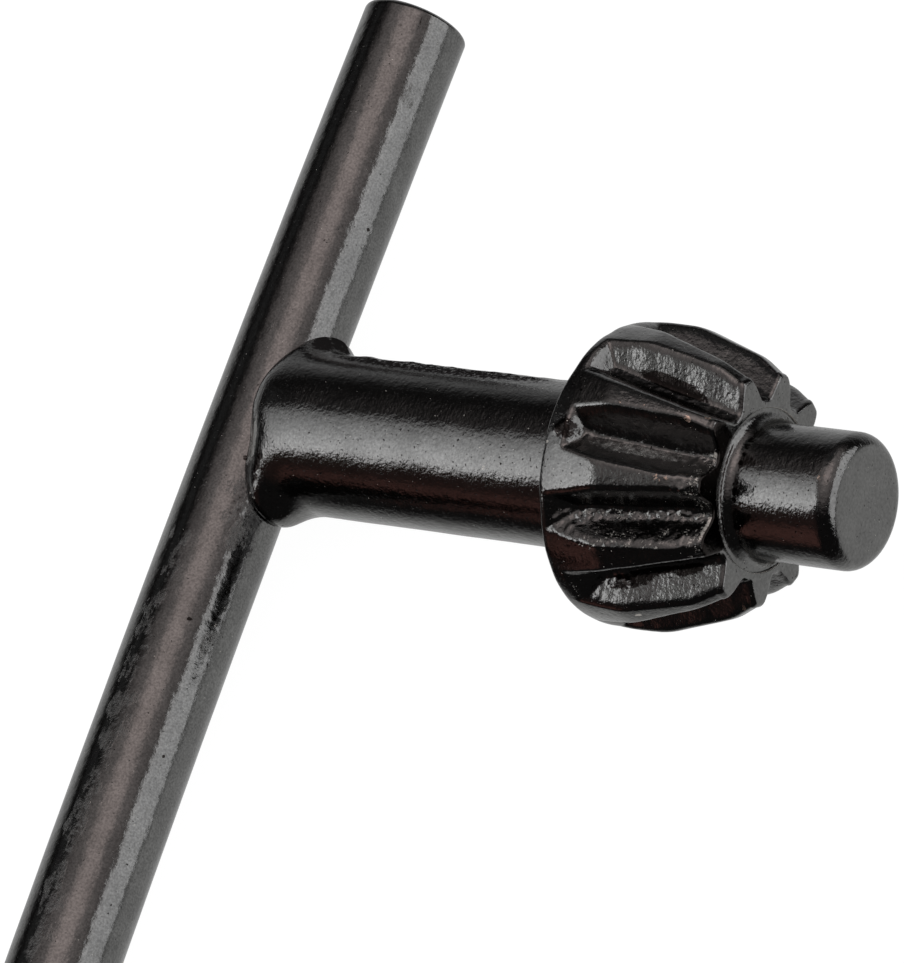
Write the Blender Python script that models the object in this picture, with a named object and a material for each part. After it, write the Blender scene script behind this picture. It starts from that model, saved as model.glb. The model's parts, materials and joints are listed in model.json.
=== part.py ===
"""Drill chuck key: a toothed key body with a plain bar welded across its end.

The key body is one formed piece: a round shank, a toothed head whose tips run
down to a flat front face, and a pilot pin. The bar lies in a saddle in the
shank's end. The key lies as it comes to rest, on the saddle's underside, the
back rim of the head and the end of the bar's long arm.

Each piece is modelled in the key's own frame: X runs along the shank from the
bar's axis towards the pilot, and Y runs along the bar.
"""

import math

import bmesh
import bpy
import numpy as np
from mathutils import Euler, Vector
from mathutils.geometry import interpolate_bezier

MM = 0.001

# Bar
BAR_RADIUS = 2.5 * MM
BAR_LONG_ARM = 37.0 * MM
BAR_SHORT_ARM = 21.0 * MM
BAR_EDGE_ROUND = 0.35 * MM

# Shank, and the saddle at its end that holds the bar
SHANK_RADIUS = 3.68 * MM
SHANK_LENGTH = 20.6 * MM
SEAT_GAP = 0.3 * MM
SADDLE_WRAP = math.radians(66.0)
SADDLE_REACH = 4.6 * MM
SADDLE_END = 4.4 * MM
RIM_RISE_SIDE = 0.75 * MM
RIM_RISE_TOP = 1.0 * MM
BLEND_SIDE = 1.2 * MM
BLEND_TOP = 2.8 * MM

# Head, measured from its back rim
HEAD_LENGTH = 6.9 * MM
BACK_RIM_RADIUS = 6.68 * MM
BACK_SLOPE = 0.35 * MM
CROWN_RADIUS = 6.76 * MM
CROWN_RISE = 0.7 * MM
CROWN_LENGTH = 1.7 * MM
CONE_LENGTH = 3.2 * MM
CONE_END_RADIUS = 5.76 * MM
FACE_TIP_RADIUS = 4.95 * MM
SHOULDER_FILLET = 0.5 * MM

# Tooth gaps
TOOTH_COUNT = 11
FIRST_GAP_ANGLE = math.radians(-1.5)
GAP_BACK_LAND = 0.35 * MM
END_WALL_ANGLE = math.radians(48.0)
ROOT_FACE_RADIUS = 3.87 * MM
ROOT_ANGLE = math.radians(18.5)
ROOT_WIDTH = 0.5 * MM
ROOT_ROUND = 0.15 * MM
FLANK_ANGLE = math.radians(37.5)
LIP_ROUND = 0.24 * MM

# Pilot pin
PILOT_RADIUS = 3.0 * MM
PILOT_LENGTH = 5.3 * MM
PILOT_EDGE_ROUND = 0.8 * MM
PILOT_ROOT_FILLET = 0.33 * MM

# Fineness of the mesh
BAR_SEGMENTS = 56
CORNER_STEPS = 3
END_WALL_STEPS = 3
GAP_STEPS = 9
SADDLE_STEPS = 8
SHORTEST_FLANK = 0.06 * MM
CUTTER_OVERRUN = 2.0 * MM

# Finish: black coated steel
COAT_COLOUR = (0.022, 0.021, 0.022, 1.0)
COAT_METALLIC = 0.55
COAT_ROUGHNESS = 0.3

# Stations along the shank's axis that follow from the sizes
FACE_STATION = SHANK_LENGTH + HEAD_LENGTH
TIP_STATION = FACE_STATION + PILOT_LENGTH


def arc(centre, radius, start, end, steps=CORNER_STEPS):
    """Points of an arc in the plane of station and radius, both ends kept."""
    angles = np.linspace(start, end, steps + 1)
    return [(centre[0] + radius * math.cos(a), centre[1] + radius * math.sin(a)) for a in angles]


def corner(before, at, after, reach_before, reach_after):
    """Start, middle and end of a rounded corner, as a quadratic curve."""
    before, at, after = Vector(before), Vector(at), Vector(after)
    start = at + (before - at).normalized() * reach_before
    end = at + (after - at).normalized() * reach_after
    return start, start * 0.25 + at * 0.5 + end * 0.25, end


def tip_radius(station):
    """Radius of the tooth tips, with station measured from the back rim."""
    outline = [
        (0.0, BACK_RIM_RADIUS),
        (CROWN_RISE, CROWN_RADIUS),
        (CROWN_RISE + CROWN_LENGTH, CROWN_RADIUS),
        (CROWN_RISE + CROWN_LENGTH + CONE_LENGTH, CONE_END_RADIUS),
        (HEAD_LENGTH, FACE_TIP_RADIUS),
    ]
    smooth = [outline[0]]
    for before, at, after in zip(outline, outline[1:], outline[2:]):
        reach = 0.4 * min(at[0] - before[0], after[0] - at[0])
        smooth += [tuple(p) for p in corner(before, at, after, reach, reach)]
    smooth.append(outline[-1])
    stations, radii = zip(*smooth)
    return float(np.interp(station, stations, radii))


def root_radius(station):
    """Radius of the straight line along the bottom of a tooth gap."""
    return ROOT_FACE_RADIUS + (HEAD_LENGTH - station) * math.tan(ROOT_ANGLE)


def end_wall_radius(station):
    """Radius of the sloped wall that closes a tooth gap at the back."""
    run = station - GAP_BACK_LAND
    return tip_radius(GAP_BACK_LAND) - run * math.tan(END_WALL_ANGLE)


def end_wall_length():
    """Length along the axis from the start of a gap to the foot of its end wall."""
    drop = tip_radius(GAP_BACK_LAND) - root_radius(GAP_BACK_LAND)
    return drop / (math.tan(END_WALL_ANGLE) - math.tan(ROOT_ANGLE))


def half_gap(station):
    """Half of the gap's section at a station, from its middle to the middle of the tooth.

    The points are across and out from the axis, in a plane square to the axis.
    """
    tip = tip_radius(station)
    floor = max(root_radius(station), end_wall_radius(station))
    side = math.tan(FLANK_ANGLE)
    half_floor = ROOT_WIDTH / 2 + (floor - root_radius(station)) * side
    slope = Vector((math.sin(FLANK_ANGLE), math.cos(FLANK_ANGLE)))
    foot = Vector((half_floor, floor))
    lean = foot.dot(slope)
    flank = math.sqrt(max(lean * lean - foot.length_squared + tip * tip, 0.0)) - lean
    flank = max(flank, SHORTEST_FLANK)
    lip = foot + slope * flank

    lip_angle = math.atan2(lip.x, lip.y)
    half_pitch = math.pi / TOOTH_COUNT
    land_angle = min(lip_angle + LIP_ROUND / tip, (lip_angle + half_pitch) / 2)
    land = Vector((math.sin(land_angle), math.cos(land_angle))) * tip
    middle = Vector((math.sin(half_pitch), math.cos(half_pitch))) * tip
    lip_start, lip_middle, land = corner(
        foot, lip, land, min(LIP_ROUND, 0.45 * flank), (land - lip).length)
    root_start = foot - Vector((min(ROOT_ROUND, 0.5 * half_floor), 0.0))
    root_end = foot + slope * min(ROOT_ROUND, 0.3 * flank)
    points = [Vector((0.0, floor)), root_start, root_end, lip_start, lip_middle, land, middle]
    return [p * min(1.0, tip / p.length) for p in points]


def toothed_section(station):
    """Closed section of the head, as a list of (angle, radius) round the axis."""
    half = [(math.atan2(p.x, p.y), p.length) for p in half_gap(station)]
    pitch = 2 * math.pi / TOOTH_COUNT
    one_tooth = [(-a, r) for a, r in reversed(half[1:-1])] + half
    return [
        (FIRST_GAP_ANGLE + k * pitch + a, r) for k in range(TOOTH_COUNT) for a, r in one_tooth
    ]


def along_x(section, station, stretch_y=1.0, stretch_z=1.0):
    """Place a section of (angle, radius) across the key's axis at a station."""
    return [
        (station, stretch_y * r * math.cos(a), stretch_z * r * math.sin(a)) for a, r in section
    ]


def round_section(like, radius):
    """A round section whose points lie at the angles of another section."""
    return [(a, radius) for a, _ in like]


def saddle_line(angle):
    """One line of the saddle, from its rim on the bar to the round shank.

    The rim is an oval laid round the bar. The line leaves the bar square to it
    and bends over to run out along the shank.
    """
    wrap = SADDLE_WRAP * math.sin(angle)
    outward = Vector((math.cos(wrap), 0.0, math.sin(wrap)))
    rim = BAR_RADIUS * outward + Vector((0.0, SADDLE_REACH * math.cos(angle), 0.0))
    end = Vector((SADDLE_END, SHANK_RADIUS * math.cos(angle), SHANK_RADIUS * math.sin(angle)))
    top = math.sin(angle) ** 2
    rise = RIM_RISE_SIDE + (RIM_RISE_TOP - RIM_RISE_SIDE) * top
    blend = BLEND_SIDE + (BLEND_TOP - BLEND_SIDE) * top
    before_end = end - Vector((blend, 0.0, 0.0))
    return interpolate_bezier(rim, rim + rise * outward, before_end, end, SADDLE_STEPS + 1)


def saddle_rings(like):
    """Rings of the shank's end, from the bar's surface to the round shank."""
    return list(zip(*(saddle_line(angle) for angle, _ in like)))


def shank_rings(like):
    """Rings from the saddle's flare to the back of the head."""
    centre = (SHANK_LENGTH - BACK_SLOPE - SHOULDER_FILLET, SHANK_RADIUS + SHOULDER_FILLET)
    fillet = arc(centre, SHOULDER_FILLET, -math.pi / 2, 0.0)
    return [along_x(round_section(like, r), s) for s, r in fillet]


def head_rings():
    """Rings of the toothed head from its back rim to its front face."""
    wall_end = GAP_BACK_LAND + end_wall_length()
    stations = [0.0]
    stations += list(np.linspace(GAP_BACK_LAND, wall_end, END_WALL_STEPS + 1))
    stations += list(np.linspace(wall_end, HEAD_LENGTH, GAP_STEPS + 1)[1:])
    rings = []
    for station in stations:
        section = toothed_section(max(station, GAP_BACK_LAND))
        if station < GAP_BACK_LAND:
            section = round_section(section, tip_radius(station))
        rings.append(along_x(section, SHANK_LENGTH + station))
    return rings


def pilot_rings(like):
    """Rings of the pilot pin, from the fillet at its root to its flat end."""
    root = (FACE_STATION + PILOT_ROOT_FILLET, PILOT_RADIUS + PILOT_ROOT_FILLET)
    edge = (TIP_STATION - PILOT_EDGE_ROUND, PILOT_RADIUS - PILOT_EDGE_ROUND)
    outline = arc(root, PILOT_ROOT_FILLET, math.pi, 1.5 * math.pi)
    outline += arc(edge, PILOT_EDGE_ROUND, math.pi / 2, 0.0)
    return [along_x(round_section(like, r), s) for s, r in outline]


def skin(name, rings):
    """A closed mesh object through rings of equal count, with flat ends."""
    bm = bmesh.new()
    loops = [[bm.verts.new(point) for point in ring] for ring in rings]
    for near, far in zip(loops, loops[1:]):
        for i in range(len(near)):
            bm.faces.new((near[i - 1], near[i], far[i], far[i - 1]))
    bm.faces.new(reversed(loops[0]))
    bm.faces.new(loops[-1])
    bmesh.ops.recalc_face_normals(bm, faces=bm.faces)
    mesh = bpy.data.meshes.new(name)
    bm.to_mesh(mesh)
    bm.free()
    mesh.shade_smooth()
    mesh.set_sharp_from_angle(angle=math.radians(40))
    piece = bpy.data.objects.new(name, mesh)
    bpy.context.scene.collection.objects.link(piece)
    return piece


def rod(name, radius, low, high, edge_round=0.0):
    """A round rod along Y from low to high, with rounded edges at both ends."""
    outline = [(low, radius), (high, radius)]
    if edge_round > 0.0:
        inner = radius - edge_round
        outline = arc((low + edge_round, inner), edge_round, math.pi, math.pi / 2)
        outline += arc((high - edge_round, inner), edge_round, math.pi / 2, 0.0)
    turn = 2 * math.pi / BAR_SEGMENTS
    rings = [
        [(r * math.sin(i * turn), y, r * math.cos(i * turn)) for i in range(BAR_SEGMENTS)]
        for y, r in outline
    ]
    return skin(name, rings)


def make_key_body():
    """Shank, toothed head and pilot as one piece, with a saddle cut for the bar."""
    like = toothed_section(GAP_BACK_LAND)
    rings = saddle_rings(like) + shank_rings(like) + head_rings()
    rings += pilot_rings(toothed_section(HEAD_LENGTH))
    body = skin("key_body", rings)

    reach = SADDLE_REACH + CUTTER_OVERRUN
    cutter = rod("saddle_cutter", BAR_RADIUS + SEAT_GAP, -reach, reach)
    cutter.hide_render = True
    cutter.display_type = "WIRE"
    cut = body.modifiers.new("saddle", "BOOLEAN")
    cut.operation = "DIFFERENCE"
    cut.solver = "EXACT"
    cut.object = cutter
    return body, cutter


def make_tee_bar():
    """The plain round bar that turns the key."""
    return rod("tee_bar", BAR_RADIUS, -BAR_LONG_ARM, BAR_SHORT_ARM, BAR_EDGE_ROUND)


def coated_steel(name):
    """Material of a piece: steel under a glossy black coat."""
    material = bpy.data.materials.new(name)
    material.use_nodes = True
    shader = material.node_tree.nodes["Principled BSDF"]
    shader.inputs["Base Color"].default_value = COAT_COLOUR
    shader.inputs["Metallic"].default_value = COAT_METALLIC
    shader.inputs["Roughness"].default_value = COAT_ROUGHNESS
    return material


def rest_tilt():
    """Angle of the shank above the floor when saddle and back rim both touch it."""
    underside = saddle_line(-math.pi / 2)
    return min(math.atan2(BACK_RIM_RADIUS + p.z, SHANK_LENGTH - p.x) for p in underside)


def rest_roll(tilt):
    """Angle by which the key rolls over until the bar's long arm touches the floor."""
    bar_height = BACK_RIM_RADIUS * math.cos(tilt) - SHANK_LENGTH * math.sin(tilt)
    end = (BAR_LONG_ARM - BAR_EDGE_ROUND) * math.cos(tilt)
    return math.asin((bar_height - BAR_RADIUS) / end)


def resting_frame(pieces):
    """Empty that carries the pieces as the key lies, centred over the floor's origin."""
    tilt = rest_tilt()
    turn = Euler((rest_roll(tilt), -tilt, 0.0))
    points = np.array([turn.to_matrix() @ v.co for piece in pieces for v in piece.data.vertices])
    low, high = points.min(axis=0), points.max(axis=0)
    frame = bpy.data.objects.new("resting_frame", None)
    frame.rotation_euler = turn
    frame.location = (-(low[0] + high[0]) / 2, -(low[1] + high[1]) / 2, -low[2])
    bpy.context.scene.collection.objects.link(frame)
    return frame


def main():
    """Clear the scene and build the key."""
    for old in list(bpy.data.objects):
        bpy.data.objects.remove(old, do_unlink=True)

    body, cutter = make_key_body()
    bar = make_tee_bar()
    body.data.materials.append(coated_steel("body_coat"))
    bar.data.materials.append(coated_steel("bar_coat"))

    frame = resting_frame((body, bar))
    for piece in (body, cutter, bar):
        piece.parent = frame


main()
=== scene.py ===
"""Looks of a drill chuck key: black coated steel, lying on a white studio floor.

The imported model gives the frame. Shapes are worked out in millimetres in the key's own
frame, where s runs along the shank from the bar's axis to the pilot, u along the bar to its
short arm, and n squarely up from both. KeyFrame turns them into the row frame in metres.
"""

import json
import logging
import math
import random
from dataclasses import dataclass, field
from enum import Enum
from typing import Sequence

import bmesh
import bpy
from mathutils import Matrix, Vector, noise


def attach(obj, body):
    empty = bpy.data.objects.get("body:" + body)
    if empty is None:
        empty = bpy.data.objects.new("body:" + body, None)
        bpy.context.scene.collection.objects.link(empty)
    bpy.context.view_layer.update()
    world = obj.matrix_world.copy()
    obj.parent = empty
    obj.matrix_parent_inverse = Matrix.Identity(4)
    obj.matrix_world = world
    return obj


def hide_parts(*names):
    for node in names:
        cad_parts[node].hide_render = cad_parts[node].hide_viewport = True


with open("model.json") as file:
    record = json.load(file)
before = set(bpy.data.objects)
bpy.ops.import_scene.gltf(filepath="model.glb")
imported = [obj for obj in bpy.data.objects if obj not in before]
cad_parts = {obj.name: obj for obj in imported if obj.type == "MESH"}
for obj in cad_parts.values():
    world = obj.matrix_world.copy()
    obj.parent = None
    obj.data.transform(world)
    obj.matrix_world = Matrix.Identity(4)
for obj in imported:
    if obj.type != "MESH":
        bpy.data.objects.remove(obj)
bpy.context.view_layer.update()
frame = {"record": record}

BODY = "root"
MM = 0.001
WELD = 1e-7  # metres within which vertices of a pole become one
WHITE = (1.0, 1.0, 1.0)
BELL_REACH = 2.5  # widths from the middle, past which a bell curve counts as 0

log = logging.getLogger("chuck_key")


class Zone(Enum):
    """Stretch of the key body that a ring of vertices belongs to."""

    SEAT = "seat on the bar"
    SADDLE = "saddle"
    TURNED = "turned stretch"
    HEAD = "toothed head"
    FACE = "head's front face"


class WearAndPaintedLight(Enum):
    """Kind of mark on the coat, and the name of the attribute that carries it; three kinds also
    carry painted light.
    """

    # chips and bare metal, and a painted highlight line on the pilot recess's lip
    CHIP = "chip"
    SCUFF = "scuff"
    RUST = "rust"
    # black smudges, and painted shade in tooth-gap roots and round the pilot's root
    GRIME = "grime"
    # dull black: painted dark reflection on the saddle's flare, and a dull dark strip on the shank
    SOOT = "soot"


# Width of each kind's flakes in millimetres, and half the range over which their edges fade.
FLAKES = {
    WearAndPaintedLight.CHIP: (0.11, 0.04),
    WearAndPaintedLight.SCUFF: (0.3, 0.14),
    WearAndPaintedLight.RUST: (0.18, 0.04),
    WearAndPaintedLight.GRIME: (0.2, 0.04),
    WearAndPaintedLight.SOOT: (0.2, 0.2),
}
MARK_LEVEL = 1.02  # sum of a mark's strength and the noise at which the mark covers half the coat

Colour = tuple[float, float, float]
Window = tuple[float, float, float, float]
Ring = tuple[Zone, float, float]


def smooth_min(a: float, b: float, reach: float) -> float:
    """The lower of two heights, rounded where they cross.

    Args:
        a: First height.
        b: Second height.
        reach: Difference over which the crossing is rounded.

    Returns:
        The blended height.
    """
    share = min(max(0.5 + 0.5 * (b - a) / reach, 0.0), 1.0)
    return b + (a - b) * share - reach * share * (1.0 - share)


def smooth_max(a: float, b: float, reach: float) -> float:
    """The higher of two heights, rounded where they cross.

    Args:
        a: First height.
        b: Second height.
        reach: Difference over which the crossing is rounded.

    Returns:
        The blended height.
    """
    return -smooth_min(-a, -b, reach)


def smooth_step(value: float, low: float, high: float) -> float:
    """Share from 0 at low to 1 at high, eased at both ends.

    Args:
        value: Where to read the share.
        low: Value at which the share is 0.
        high: Value at which the share is 1.

    Returns:
        A share from 0 to 1.
    """
    share = min(max((value - low) / (high - low), 0.0), 1.0)
    return share * share * (3.0 - 2.0 * share)


def window(value: float, corners: Window) -> float:
    """Share that rises between the first two corners and falls between the last two."""
    return smooth_step(value, *corners[:2]) * (1.0 - smooth_step(value, *corners[2:]))


def bell(off: float) -> float:
    """Bell curve: 1 in the middle, and 0.37 one width away from it."""
    return math.exp(-off * off)


def degrees_from(turn: float, middle_deg: float) -> float:
    """Angle from a middle, in degrees from -180 to 180."""
    return (math.degrees(turn) - middle_deg + 180.0) % 360.0 - 180.0


def spread(low: float, high: float, count: int) -> list[float]:
    """Evenly spaced values after low, up to and with high.

    Args:
        low: Value before the first one.
        high: Last value.
        count: How many values.

    Returns:
        The values.
    """
    return [low + (high - low) * (i + 1) / count for i in range(count)]


def lump(point: Sequence[float], size: float, seed: float = 0.0) -> float:
    """Smooth noise from -1 to 1.

    Args:
        point: Place, in millimetres.
        size: Width of a lump, in millimetres.
        seed: Shift that gives another pattern.

    Returns:
        Height of the noise.
    """
    return noise.noise(Vector(point) / size + Vector((seed, 1.7 * seed, -seed)))


def lump_round(turn: float, reach: float, size: float, level: float, seed: float = 0.0) -> float:
    """Smooth noise from -1 to 1 that runs round a circle and closes on itself.

    Args:
        turn: Angle round the circle.
        reach: Radius of the circle, in millimetres.
        size: Width of a lump, in millimetres.
        level: Height of the circle in the noise, which gives another pattern.
        seed: Shift that gives another pattern too.

    Returns:
        Height of the noise.
    """
    return lump((reach * math.cos(turn), reach * math.sin(turn), level), size, seed)


@dataclass(frozen=True)
class KeyFrame:
    """The key's own frame inside the row frame."""

    origin: Vector
    turn: Matrix

    @classmethod
    def from_record(cls, record: dict, pilot_end: float) -> "KeyFrame":
        """Read the frame off the record's mounts.

        Args:
            record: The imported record.
            pilot_end: Station of the pilot's end, in millimetres.

        Returns:
            The frame with its origin where the shank's axis crosses the bar's.
        """
        mounts = {mount["name"]: mount for mount in record["mounts"]}
        along = Vector(mounts["pilot_end"]["axis"]).normalized()
        upward = along.cross(Vector(mounts["bar_short_end"]["axis"])).normalized()
        across = upward.cross(along)
        origin = Vector(mounts["pilot_end"]["pos_m"]) - along * pilot_end * MM
        return cls(origin, Matrix((along, across, upward)).transposed())

    def place(self, point: Sequence[float]) -> Vector:
        """Row-frame place, in metres, of a point given in millimetres."""
        return self.origin + self.turn @ (Vector(point) * MM)


@dataclass(frozen=True)
class Mark:
    """A spot of wear, dirt or painted light on a surface of revolution."""

    kind: WearAndPaintedLight
    station: float
    turn_deg: float
    radius: float
    stretch: float = 1.0
    strength: float = 1.0

    def weight(self, station: float, turn: float, distance: float) -> float:
        """Strength of the mark at a place.

        Args:
            station: Place along the axis, in millimetres.
            turn: Angle round the axis.
            distance: Radius of the surface there, in millimetres.

        Returns:
            A share from 0 to the mark's strength.
        """
        run = (station - self.station) / self.stretch
        if abs(run) > self.radius:
            return 0.0
        off = (turn - math.radians(self.turn_deg) + math.pi) % (2 * math.pi) - math.pi
        reach = math.hypot(run, off * distance) / self.radius
        return self.strength * (1.0 - smooth_step(reach, 0.35, 1.0))


@dataclass(frozen=True)
class Burr:
    """A strip of lumps along a line on the key body."""

    stations: tuple[float, float]
    turn_deg: float
    width_deg: float
    height: float
    grain: float = 0.26
    fade: float = 0.3

    def rise(self, station: float, turn: float, place: Vector) -> float:
        """Height of the lumps at a place.

        Args:
            station: Place along the axis, in millimetres.
            turn: Angle round the axis.
            place: The point itself, which gives the lumps their pattern.

        Returns:
            The height, in millimetres.
        """
        start, end = self.stations
        if not start < station < end:
            return 0.0
        off = degrees_from(turn, self.turn_deg) / self.width_deg
        if abs(off) > BELL_REACH:
            return 0.0
        ends = window(station, (start, start + self.fade, end - self.fade, end))
        lumps = 0.3 + lump(place, self.grain, 6.0) + 0.5 * lump(place, 0.4 * self.grain)
        return self.height * ends * bell(off) * max(0.0, lumps)


def marks_of(kind: WearAndPaintedLight, *rows: tuple[float, ...]) -> tuple[Mark, ...]:
    """Marks of one kind from rows of station, angle, radius, stretch and strength."""
    return tuple(Mark(kind, *row) for row in rows)


def scatter(
    kind: WearAndPaintedLight, count: int, stations: tuple[float, float], turns: tuple[float, float],
    sizes: tuple[float, float], stretch: float = 1.0, strength: float = 1.0,
) -> tuple[Mark, ...]:
    """Marks strewn over an area.

    Args:
        kind: Kind of mark.
        count: How many.
        stations: Range along the axis, in millimetres.
        turns: Range of angles, in degrees.
        sizes: Range of radii, in millimetres.
        stretch: Length of a mark over its width.
        strength: Strength of each.

    Returns:
        The marks, the same ones each time.
    """
    dice = random.Random(f"{kind.value} {stations} {turns}")
    return tuple(
        Mark(kind, dice.uniform(*stations), dice.uniform(*turns), dice.uniform(*sizes), stretch,
             strength)
        for _ in range(count))


def make_tube(columns: int, rows: int) -> bmesh.types.BMesh:
    """A tube of quads along Z, with one unit between neighbouring rings.

    Args:
        columns: Vertices in each ring.
        rows: Number of rings.

    Returns:
        The mesh, open at both ends.
    """
    bm = bmesh.new()
    bmesh.ops.create_cone(
        bm, cap_ends=False, segments=columns, radius1=1.0, radius2=1.0, depth=rows - 1.0)
    lengthwise = [e for e in bm.edges if abs(e.verts[0].co.z - e.verts[1].co.z) > 0.5]
    bmesh.ops.subdivide_edges(bm, edges=lengthwise, cuts=rows - 2, use_grid_fill=True)
    return bm


def add_object(name: str, data: bpy.types.ID) -> bpy.types.Object:
    """Make an object at the origin and put it into the scene.

    Args:
        name: Name of the object.
        data: Its mesh, lamp or camera.

    Returns:
        The object.
    """
    made = bpy.data.objects.new(name, data)
    bpy.context.scene.collection.objects.link(made)
    return made


def add_mesh(name: str, bm: bmesh.types.BMesh) -> bpy.types.Object:
    """Turn a finished bmesh into an object in the scene.

    Args:
        name: Name of the object.
        bm: The shaped mesh, which is freed.

    Returns:
        The object.
    """
    mesh = bpy.data.meshes.new(name)
    bm.to_mesh(mesh)
    bm.free()
    return add_object(name, mesh)


def close_and_link(bm: bmesh.types.BMesh, name: str) -> bpy.types.Object:
    """Merge the poles, turn the faces outward and make the object.

    Args:
        bm: The shaped mesh.
        name: Name of the piece.

    Returns:
        The new object, at the origin.
    """
    bmesh.ops.remove_doubles(bm, verts=bm.verts, dist=WELD)
    bmesh.ops.recalc_face_normals(bm, faces=bm.faces)
    piece = add_mesh(name, bm)
    piece.data.shade_smooth()
    return piece


def lay_marks(
    vert: bmesh.types.BMVert, layers: dict[WearAndPaintedLight, bmesh.types.BMLayerItem],
    marks: tuple[Mark, ...], station: float, turn: float, distance: float,
) -> None:
    """Put the strongest mark of each kind, wear, dirt or painted light, that reaches a vertex into
    its layers.

    Args:
        vert: The vertex.
        layers: Float layer of each kind of wear.
        marks: Marks on the piece.
        station: Place of the vertex along the axis, in millimetres.
        turn: Its angle round the axis.
        distance: Its distance from the axis, in millimetres.
    """
    for mark in marks:
        weight = mark.weight(station, turn, distance)
        if weight > 0.0:
            layer = layers[mark.kind]
            vert[layer] = max(vert[layer], weight)


class Sketch:
    """A node tree being drawn: each method adds a node and returns its output."""

    def __init__(self, tree: bpy.types.NodeTree) -> None:
        """Start on an existing tree."""
        self.tree = tree

    def node(
        self, kind: str, inputs: dict[str | int, object] | None = None, **settings: object
    ) -> bpy.types.Node:
        """Add a node.

        Args:
            kind: The node's type name.
            inputs: Values, or other nodes' outputs, for its inputs.
            **settings: Properties to set on it.

        Returns:
            The node.
        """
        made = self.tree.nodes.new(kind)
        for key, value in settings.items():
            setattr(made, key, value)
        self.feed(made, inputs or {})
        return made

    def feed(self, node: bpy.types.Node, inputs: dict[str | int, object]) -> None:
        """Give inputs their values, by a link where the value is another node's output.

        Args:
            node: The node that is fed.
            inputs: Value of each input, by its name or number.
        """
        for key, value in inputs.items():
            if isinstance(value, bpy.types.NodeSocket):
                self.tree.links.new(value, node.inputs[key])
            else:
                node.inputs[key].default_value = value

    def attribute(self, name: str) -> bpy.types.NodeSocket:
        """Read a float attribute of the mesh."""
        return self.node("ShaderNodeAttribute", attribute_name=name).outputs["Fac"]

    def noise(
        self, vector: object, scale: float, detail: float = 2.0, roughness: float = 0.5
    ) -> bpy.types.NodeSocket:
        """Perlin noise, about 0.5 in the middle.

        Args:
            vector: Coordinates to read it at.
            scale: Lumps per unit of the coordinates.
            detail: Octaves.
            roughness: Share of each finer octave.

        Returns:
            The noise's value.
        """
        inputs = {"Vector": vector, "Scale": scale, "Detail": detail, "Roughness": roughness}
        return self.node("ShaderNodeTexNoise", inputs).outputs["Fac"]

    def mapping(
        self, vector: object, location: Sequence[float] = (0.0, 0.0, 0.0),
        rotation: Sequence[float] = (0.0, 0.0, 0.0), scale: Sequence[float] = (1.0, 1.0, 1.0),
    ) -> bpy.types.NodeSocket:
        """Scale, turn and shift coordinates.

        Args:
            vector: Coordinates that come in.
            location: Shift, applied last.
            rotation: Euler angles.
            scale: Scale, applied first.

        Returns:
            The changed coordinates.
        """
        inputs = {"Vector": vector, "Location": location, "Rotation": rotation, "Scale": scale}
        return self.node("ShaderNodeMapping", inputs).outputs["Vector"]

    def remap(
        self, value: object, low: float, high: float, to_low: float = 0.0, to_high: float = 1.0,
        eased: bool = False,
    ) -> bpy.types.NodeSocket:
        """Map a range of values onto another, held at both ends.

        Args:
            value: Value that comes in.
            low: Value that becomes to_low.
            high: Value that becomes to_high.
            to_low: Result at low.
            to_high: Result at high.
            eased: Ease in and out of both ends.

        Returns:
            The mapped value.
        """
        kind = "SMOOTHSTEP" if eased else "LINEAR"
        inputs = {
            "Value": value, "From Min": low, "From Max": high, "To Min": to_low, "To Max": to_high}
        return self.node("ShaderNodeMapRange", inputs, interpolation_type=kind).outputs["Result"]

    def maths(self, operation: str, first: object, second: object = 0.0) -> bpy.types.NodeSocket:
        """One step of arithmetic.

        Args:
            operation: Name of the operation, such as ADD.
            first: First operand.
            second: Second operand.

        Returns:
            The result.
        """
        return self.node("ShaderNodeMath", {0: first, 1: second}, operation=operation).outputs[0]

    def mix(self, share: object, first: object, second: object) -> bpy.types.NodeSocket:
        """Blend two values.

        Args:
            share: 0 for the first, 1 for the second.
            first: Value at 0.
            second: Value at 1.

        Returns:
            The blend.
        """
        inputs = {0: share, 2: first, 3: second}
        return self.node("ShaderNodeMix", inputs, data_type="FLOAT").outputs[0]

    def tint(
        self, share: object, first: object, second: object, how: str = "MIX"
    ) -> bpy.types.NodeSocket:
        """Blend two colours.

        Args:
            share: 0 for the first, 1 for the second.
            first: Colour at 0, as three numbers or an output.
            second: Colour at 1, as three numbers or an output.
            how: Blend mode.

        Returns:
            The blended colour.
        """
        inputs = {0: share}
        for key, colour in ((6, first), (7, second)):
            inputs[key] = colour if isinstance(colour, bpy.types.NodeSocket) else (*colour, 1.0)
        made = self.node("ShaderNodeMix", inputs, data_type="RGBA", blend_type=how)
        return made.outputs[2]

    def bump(
        self, height: object, depth: float, under: bpy.types.NodeSocket | None = None
    ) -> bpy.types.NodeSocket:
        """Relief on the shading normal.

        Args:
            height: Relief from 0 to 1.
            depth: Height of the relief, in millimetres.
            under: Normal that the relief is added to.

        Returns:
            The new normal.
        """
        made = self.node("ShaderNodeBump", {"Distance": depth * MM, "Height": height})
        if under is not None:
            self.feed(made, {"Normal": under})
        return made.outputs["Normal"]


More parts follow.
